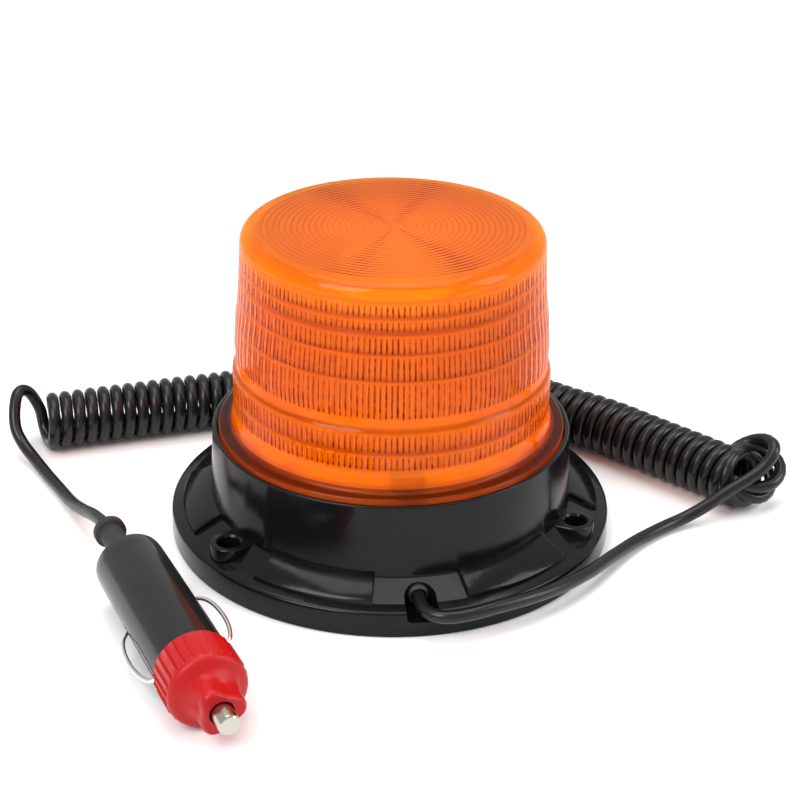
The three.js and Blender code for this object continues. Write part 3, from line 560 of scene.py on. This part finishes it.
def fanned_turns():
    made, start = [], math.radians(START_DEGREES)
    for k in range(len(FANNED_RINGS) - 1):
        (c0, n0, r0), (c1, n1, r1) = FANNED_RINGS[k], FANNED_RINGS[k + 1]
        for step in range(POINTS_PER_TURN):
            t = step / POINTS_PER_TURN
            s = t * t * (3 - 2 * t)
            centre = Vector(c0).lerp(Vector(c1), t)
            made.append(
                ring_point(
                    centre, Vector(n0).lerp(Vector(n1), s), r0 + (r1 - r0) * t, start + TURN * (k + t)
                )
            )
    return made


def coil_turns():
    """The curly run: it ends at the far side of its last turn, where the plug's lead leaves it."""
    axis = curve_through([(x, y, COIL_Z) for x, y in COIL_AXIS], 40)
    steps = [0.0]
    for a, b in zip(axis, axis[1:]):
        steps.append(steps[-1] + (b - a).length)
    total_turns = COIL_TURNS - START_DEGREES / 360
    count = round(total_turns * POINTS_PER_TURN)
    made, i = [], 0
    for k in range(count + 1):
        at = steps[-1] * k / count
        while i < len(steps) - 2 and steps[i + 1] < at:
            i += 1
        centre = axis[i].lerp(axis[i + 1], (at - steps[i]) / (steps[i + 1] - steps[i]))
        facing = -(axis[min(i + 3, len(axis) - 1)] - axis[max(i - 2, 0)])
        angle = math.radians(START_DEGREES) + TURN * total_turns * k / count
        made.append(ring_point(centre, facing, TURN_R, angle))
    return made


def make_cord():
    fanned = fanned_turns()
    coil = coil_turns()
    lead_in = curve_through([*BASE_LEAD, fanned[0], fanned[3]], 6)[:-7]
    lead_out = curve_through([coil[-4], coil[-1], *PLUG_LEAD], 6)[7:]
    line = lead_in + fanned + coil + lead_out
    curve = bpy.data.curves.new("supply_cord", "CURVE")
    curve.dimensions = "3D"
    curve.bevel_depth = CORD_D / 2 * MM
    curve.bevel_resolution = 5
    curve.use_fill_caps = True
    spline = curve.splines.new("POLY")
    spline.points.add(len(line) - 1)
    for point, place in zip(spline.points, line):
        point.co = (*(place * MM), 1)
    spline.use_smooth = True
    curve.materials.append(CORD_BLACK)
    cord = bpy.data.objects.new("supply_cord", curve)
    bpy.context.scene.collection.objects.link(cord)
    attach(cord, "base")
    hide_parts("cord_lead_base", "cord_coil", "cord_lead_plug", "cord_tail_plug")
    length = sum((b - a).length for a, b in zip(line, line[1:])) * MM
    return cord, length


# ---------------------------------------------------------------- base housing

COLLAR_R = 49.8
COLLAR_TOP = 31.5
FLANGE_R = 62
BOSS_PITCH_R = 55
BOSS_DEGREES = (60, 180, 300)
SECTOR = 120


def polar(radius, degrees, z):
    """A point at an angle from the slot, counterclockwise from above."""
    angle = math.radians(degrees)
    return (radius * math.sin(angle), -radius * math.cos(angle), z)


def turned_by(degrees):
    return Matrix.Rotation(math.radians(degrees), 4, "Z")


def housing_shell():
    return revolved("shell", rounded_profile([
        (47.4, 0, 0.2), (51.1, 0, 0.2), (51.1, 8.7, 0.4), (59.6, 5, 0.4), (59.6, 0, 0.2), (FLANGE_R, 0, 0.3),
        (FLANGE_R, 7.0, 1.2), (58.4, 7.75, 0.6), (50.9, 11.3, 0.8), (COLLAR_R, COLLAR_TOP, 0.5),
        (48.6, COLLAR_TOP, 0.3), (48.6, 25.8, 0.2), (45.1, 25.8, 0.2), (45.1, 23.6, 0), (47.4, 23.6, 0),
        (47.4, 17, 0), (4.8, 17, 0), (4.8, 15, 0), (47.4, 15, 0),
    ]), 240)


def arc_pad(start, end):
    """A raised pad round part of the flange, its long outer edge and its two ends rounded."""
    section = [(47.6, 6), (59.1, 6), (58.7, 8.6), (58.2, 9.25), (51.3, 12.6), (47.6, 12.6)]
    steps = 20
    points = [polar(r, start + (end - start) * i / steps, z) for i in range(steps + 1) for r, z in section]
    count, faces = len(section), []
    for i in range(steps):
        for j in range(count):
            k = (j + 1) % count
            faces.append((i * count + j, i * count + k, (i + 1) * count + k, (i + 1) * count + j))
    faces.append(tuple(range(count)))
    faces.append(tuple(range(steps * count, (steps + 1) * count)))
    pad = mesh_from("pad", points, faces)
    return bevel_edges(pad, 0.55, keep=lambda e: min(v.co.z for v in e.verts) > 0.008)


def boss(degrees):
    """A round-nosed boss that stands against the collar."""
    nose = [(5.2 * math.cos(a), -BOSS_PITCH_R + 5.2 * math.sin(a)) for a in
            [math.pi + math.pi * i / 28 for i in range(29)]]
    mesh = prism("boss", [*nose, (5.2, -48), (-5.2, -48)], 0.2, 11.6)
    bevel_edges(mesh, 0.5, keep=lambda e: min(v.co.z for v in e.verts) > 0.011)
    return moved(mesh, turned_by(degrees))


def slot_cutter():
    """The cable slot: round at its inner end, and rounded along its floor."""
    end = [(4.25 * math.cos(a), -56.65 + 4.25 * math.sin(a)) for a in [math.pi * i / 28 for i in range(29)]]
    mesh = prism("slot", [*end, (-4.25, -70), (4.25, -70)], 4.2, 30)
    return bevel_edges(mesh, 1.6, keep=lambda e: max(v.co.z for v in e.verts) < 0.005)


def hole_cutter(degrees):
    """A fixing hole with a small chamfer at its mouth."""
    mesh = solid_of_turn("hole", [(0, -1), (3.05, -1), (3.05, 11.1), (3.7, 11.75), (3.7, 14), (0, 14)], 40)
    return moved(mesh, Matrix.Translation([c * MM for c in polar(BOSS_PITCH_R, degrees, 0)]))


def make_housing():
    pads = []
    for sector in range(3):
        pads.append(arc_pad(sector * SECTOR + 12.5, sector * SECTOR + 46))
        pads.append(arc_pad(sector * SECTOR - 46, sector * SECTOR - 12.5))
    bosses = [boss(a) for a in BOSS_DEGREES]
    slot_block = prism("block", [(-6.65, -60.8), (6.65, -60.8), (6.65, -47.6), (-6.65, -47.6)], 0.3, 7)
    body = combine(housing_shell(), joined("pads", pads), "UNION")
    body = combine(body, joined("bosses", bosses), "UNION")
    body = combine(body, slot_block, "UNION")
    body = combine(body, slot_cutter(), "DIFFERENCE")
    cable_hole = moved(
        solid_of_turn("bore", [(0, 0), (3.2, 0), (3.2, 9), (0, 9)], 40),
        Matrix.Translation((0, -0.0455, CABLE_Z * MM)) @ Matrix.Rotation(math.pi / 2, 4, "X"),
    )
    bores = joined("bores", [cable_hole, *[hole_cutter(a) for a in BOSS_DEGREES]])
    body = combine(body, bores, "DIFFERENCE")
    soften(body, 28)
    housing = piece("housing_shell", body, BASE_BLACK)
    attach(housing, "base")
    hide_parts("base_housing")


# ---------------------------------------------------------------- lens

FLUTE_STEPS = (0, 0.06, 0.14, 0.3, 0.5, 0.7, 0.86, 0.94)
FINE = FLUTES * len(FLUTE_STEPS)
COARSE = 2 * FLUTES
FLUTE_DEPTH = 0.9
LENS_OUTSIDE = [
    (42.3, 20.8), (44.7, 20.8), (44.7, 27.7), (48.0, 27.7), (48.2, 27.9), (48.2, 32.1), (48.05, 32.5),
    (47.7, 32.7), (46.0, 32.75), (45.3, 32.9), (44.9, 33.3), (44.6, 34.2), (44.4, 36.0), (44.1, 36.6),
    (43.9, 38.8), (43.9, 44.0), (43.9, 48.8), (43.8, 49.4), (43.4, 49.9), (42.95, 50.4), (42.8, 51.2),
    (42.9, 53), (43.2, 57), (42.95, 61), (42.7, 65), (42.0, 70.5), (41.7, 75), (41.5, 79), (41.3, 83),
    (41.2, 85.7),
]
EDGE_R = 3.8


def outside_radius(z):
    for (r0, z0), (r1, z1) in zip(LENS_OUTSIDE[12:], LENS_OUTSIDE[13:]):
        if z0 <= z <= z1:
            return r0 + (r1 - r0) * (z - z0) / (z1 - z0)
    return LENS_OUTSIDE[-1][0] if z > 80 else LENS_OUTSIDE[12][0]


class Skin:
    """A closed skin made of rings, each plain (coarse) or fluted (fine)."""

    def __init__(self):
        self.points, self.groove, self.faces, self.last = [], [], [], None

    def ring(self, radius, z, depth=None, groove=0.0):
        """Adds a ring and joins it to the last one. depth is how far its flutes stand in."""
        start = len(self.points)
        fine = depth is not None
        for j in range(FINE if fine else COARSE):
            if fine:
                flute, step = divmod(j, len(FLUTE_STEPS))
                u = FLUTE_STEPS[step]
                ridge = 1 - abs(2 * u - 1) ** 5
                angle = TURN * (flute + u) / FLUTES
                r = radius - depth * ridge
                # Painted shade, strongest in the troughs between the flutes.
                self.groove.append(max(groove, 1 - ridge))
            else:
                angle, r = TURN * j / COARSE, radius
                self.groove.append(groove)
            self.points.append((r * math.sin(angle), -r * math.cos(angle), z))
        ring = range(start, len(self.points))
        if self.last is not None:
            self.bridge(self.last, ring)
        self.last = ring
        return ring

    def bridge(self, a, b):
        if len(a) < len(b):
            a, b = b, a
        per = len(a) // len(b)
        for i in range(len(b)):
            k = (i + 1) % len(b)
            run = [a[(i * per + s) % len(a)] for s in range(per + 1)]
            self.faces.append((b[k], b[i], *run))

    def pole(self, z):
        """Closes the last ring with a point on the axis, or starts the next skin from one."""
        self.points.append((0, 0, z))
        self.groove.append(0)
        tip = len(self.points) - 1
        self.faces += [(tip, a, b) for a, b in zip(self.last, [*self.last[1:], self.last[0]])]


def band_rows(low, high):
    """Heights and depths across one band of flutes, whose ends are rounded."""
    ends = ((0, 0), (0.15, 0.55), (0.4, 0.85), (0.8, 1))
    rows = [(low + step, share) for step, share in ends]
    return rows + [(high - step, share) for step, share in reversed(ends)]


def lens_skin():
    skin = Skin()
    for r, z in LENS_OUTSIDE:
        skin.ring(r, z)
    centre_r, centre_z = LENS_OUTSIDE[-1][0] - EDGE_R, LENS_TOP - EDGE_R
    for i in range(1, 9):
        angle = math.pi / 2 * i / 8
        skin.ring(centre_r + EDGE_R * math.cos(angle), centre_z + EDGE_R * math.sin(angle))
    for r in (34, 24, 12, 4):
        skin.ring(r, LENS_TOP)
    skin.pole(LENS_TOP)

    skin.last = None
    under, top_rings, step_r = LENS_TOP - 2.1, 22, TOP_RING_STEP
    skin.ring(0.8, under)
    skin.pole(under)
    for i in range(top_rings):
        r = 1.2 + i * step_r
        # Painted shade in each ring's trough, a little on its flanks.
        for share, lift, groove in ((0, 0, 0.45), (0.12, 0.2, 0.1), (0.5, 0.3, 0), (0.88, 0.2, 0.1)):
            skin.ring(r + share * step_r, under - lift, groove=groove)
    skin.ring(1.2 + top_rings * step_r, under, groove=0.45)
    skin.ring(37.6, under - 0.1)
    skin.ring(38.6, under - 0.9)
    skin.ring(39.0, under - 2.2)
    for low, high in FLUTE_BANDS:
        # Painted shade rises where the flutes fade out at the ends of each band.
        for z, share in reversed(band_rows(low, high)):
            skin.ring(outside_radius(z) - 1.7, z, FLUTE_DEPTH * share, groove=1 - share)
        if low == STEPPED_BAND:
            skin.ring(outside_radius(52.6) - 2.2, 52.6)
            skin.ring(outside_radius(50.4) - 2.2, 50.2)
    skin.ring(42.4, 38.2)
    skin.ring(42.3, 34)
    last = skin.ring(42.3, 22)
    skin.bridge(last, range(COARSE))
    return skin


def make_lens():
    skin = lens_skin()
    mesh = mesh_from("lens_dome", skin.points, skin.faces)
    # This attribute holds the painted shade of the grooves, which the lens material reads.
    attribute = mesh.attributes.new("groove", "FLOAT", "POINT")
    attribute.data.foreach_set("value", skin.groove)
    lugs = []
    for sector in range(3):
        rim = [polar(r, sector * SECTOR + a, 0)[:2] for r, span in
               ((44.6, range(-6, 7, 2)), (47, range(6, -7, -2))) for a in span]
        lugs.append(prism("lug", rim, 20.8, 22.8))
    mesh = joined("lens_dome", [mesh, *lugs])
    soften(mesh, 40)
    dome = piece("lens_dome", mesh, LENS)
    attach(dome, "lens_body")
    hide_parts("lens")


# ---------------------------------------------------------------- plug

PLUG_HEADING = math.radians(-73.8)
PLUG_AXIS = Vector((math.cos(PLUG_HEADING), math.sin(PLUG_HEADING), 0))
PLUG_REAR = Vector((-73.9, -35.28, 10.5))
CONTACT_OUT = Vector((0.9183, 0.2668, 0.2924)).normalized()
PLUG_FRAME = Matrix.Translation(PLUG_REAR * MM) @ Matrix(
    (CONTACT_OUT, PLUG_AXIS.cross(CONTACT_OUT).normalized(), PLUG_AXIS)
).transposed().to_4x4()
HOOP_R = 0.55


def half_shell(name, side):
    """One half of the plug's body, open along its middle plane."""
    profile = rounded_profile([
        (3, -1, 0.3), (9.3, -1, 0.45), (9.4, 1.5, 0.2), (9.65, 50, 0.3), (8.15, 50, 0), (8.15, 56, 0),
        (7.5, 56, 0), (7.5, 1.2, 0), (3, 1.2, 0),
    ])
    steps, count = 48, len(profile)
    lean = math.radians(0.5)
    points = []
    for i in range(steps + 1):
        angle = lean + (math.pi - 2 * lean) * i / steps
        points += [(r * math.cos(angle), side * r * math.sin(angle), z) for r, z in profile]
    faces = []
    for i in range(steps):
        for j in range(count):
            k = (j + 1) % count
            faces.append((i * count + j, i * count + k, (i + 1) * count + k, (i + 1) * count + j))
    faces.append(tuple(range(count)))
    faces.append(tuple(range(steps * count, (steps + 1) * count)))
    mesh = bevel_edges(mesh_from(name, points, faces), 0.12, 2, sharper=50)
    slots = [
        prism("slot", [(x0, -1), (x1, -1), (x1, 1), (x0, 1)], 22.5, 60) for x0, x1 in ((6, 16), (-16, -6))
    ]
    return combine(mesh, joined("slots", slots), "DIFFERENCE")


def cap_grip(angle, r, z):
    """Saw-toothed grip ribs round the cap's rear, and three lobes round its nose."""
    if r > 9 and z < 62.3:
        tooth = (angle / TURN * 26) % 1
        return -0.55 * tooth if 50.8 < z < 60.3 else -0.3
    if z > 63.6 and r > 4.5:
        rise = min(1, (z - 63.6) / 2)
        return rise * (0.9 * math.cos(3 * (angle - math.radians(75))) - 0.25)
    return 0


def nose_cap():
    return revolved("plug_cap", [
        (8.55, 50.3), (10.2, 50.3), (10.5, 50.5), (10.5, 50.9), (10.5, 55), (10.5, 59.4), (10.5, 60.2),
        (10.5, 60.5), (10.45, 61.1), (10.2, 61.7), (9.7, 62.2), (8.6, 62.6), (7.6, 63), (6.9, 63.6),
        (6.4, 64.5), (6.1, 65.6), (5.95, 67), (5.9, 69), (5.85, 70), (5.6, 70.7), (5.1, 71.1),
        (3.2, 71.1), (3.2, 68.6), (4.2, 68.6), (4.2, 59.3), (8.55, 59.3),
    ], 26 * 12, cap_grip)


def hoop_line(side):
    """A contact hoop: out of the body, round to its bulge, and back in just behind the cap."""
    shape = [(7.6, 29.8), (7.5, 26.6), (8, 25.4), (9.5, 25.7), (11.4, 28), (12.5, 31.6), (12.95, 36),
             (12.85, 40.6), (12.1, 44.8), (10.9, 47.5), (9.3, 48.3), (7.6, 47.9)]
    return curve_through([(side * r, 0, z) for r, z in shape], 8)


def relief_profile():
    return rounded_profile([
        (2.05, -22, 0), (2.9, -22, 0.3), (3.1, -20.8, 0.2), (4.4, -20.5, 0.4), (4.4, -18.2, 0.4),
        (3.2, -17.8, 0.2), (3.3, -9.4, 0.1), (4.0, -9.1, 0.3), (4.0, -7.3, 0.3), (3.5, -7, 0.1),
        (4.7, -1.3, 0.3), (2.05, -1.3, 0),
    ])


def plug_piece(name, mesh, material, body, replaced):
    made = piece(name, moved(mesh, PLUG_FRAME), material)
    soften(made.data, 32)
    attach(made, body)
    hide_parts(*replaced)
    return made


def make_plug():
    made = [
        plug_piece("plug_half_upper", half_shell("upper", 1), PLUG_BLACK, "base",
                   ["plug_shell_upper"]),
        plug_piece("plug_half_lower", half_shell("lower", -1), PLUG_BLACK, "base",
                   ["plug_shell_lower"]),
        plug_piece("plug_cap", nose_cap(), CAP_RED, "base", ["plug_nose_cap"]),
        plug_piece("plug_relief", revolved("relief", relief_profile(), 64), RUBBER, "base",
                   ["plug_strain_relief"]),
        plug_piece("plug_pin", solid_of_turn("pin", [
            (0, 62.3), (3.8, 62.3), (3.8, 68.2), (2.8, 68.3), (2.8, 75.8), (2.7, 76.3), (2.35, 76.6),
            (0, 76.7),
        ], 64), NICKEL, "tip_body", ["plug_tip_pin"]),
    ]
    for side, word in ((-1, "left"), (1, "right")):
        made.append(plug_piece(
            f"plug_hoop_{word}", tube("hoop", hoop_line(side), HOOP_R), SPRING_WIRE, f"{word}_contact_body",
            [f"plug_contact_{word}"],
        ))
    return made


# ---------------------------------------------------------------- the scene


def make_floor():
    side = 4
    mesh = bpy.data.meshes.new("floor")
    corners = [(-side, -side, 0), (side, -side, 0), (side, side, 0), (-side, side, 0)]
    mesh.from_pydata(corners, [], [(0, 1, 2, 3)])
    floor = piece("floor", mesh, FLOOR)
    floor.location.z = -0.0002


make_camera()
make_light()
make_floor()
cord_piece, cord_length = make_cord()
paint_cad_nodes()
make_housing()
make_lens()
plug_pieces = make_plug()
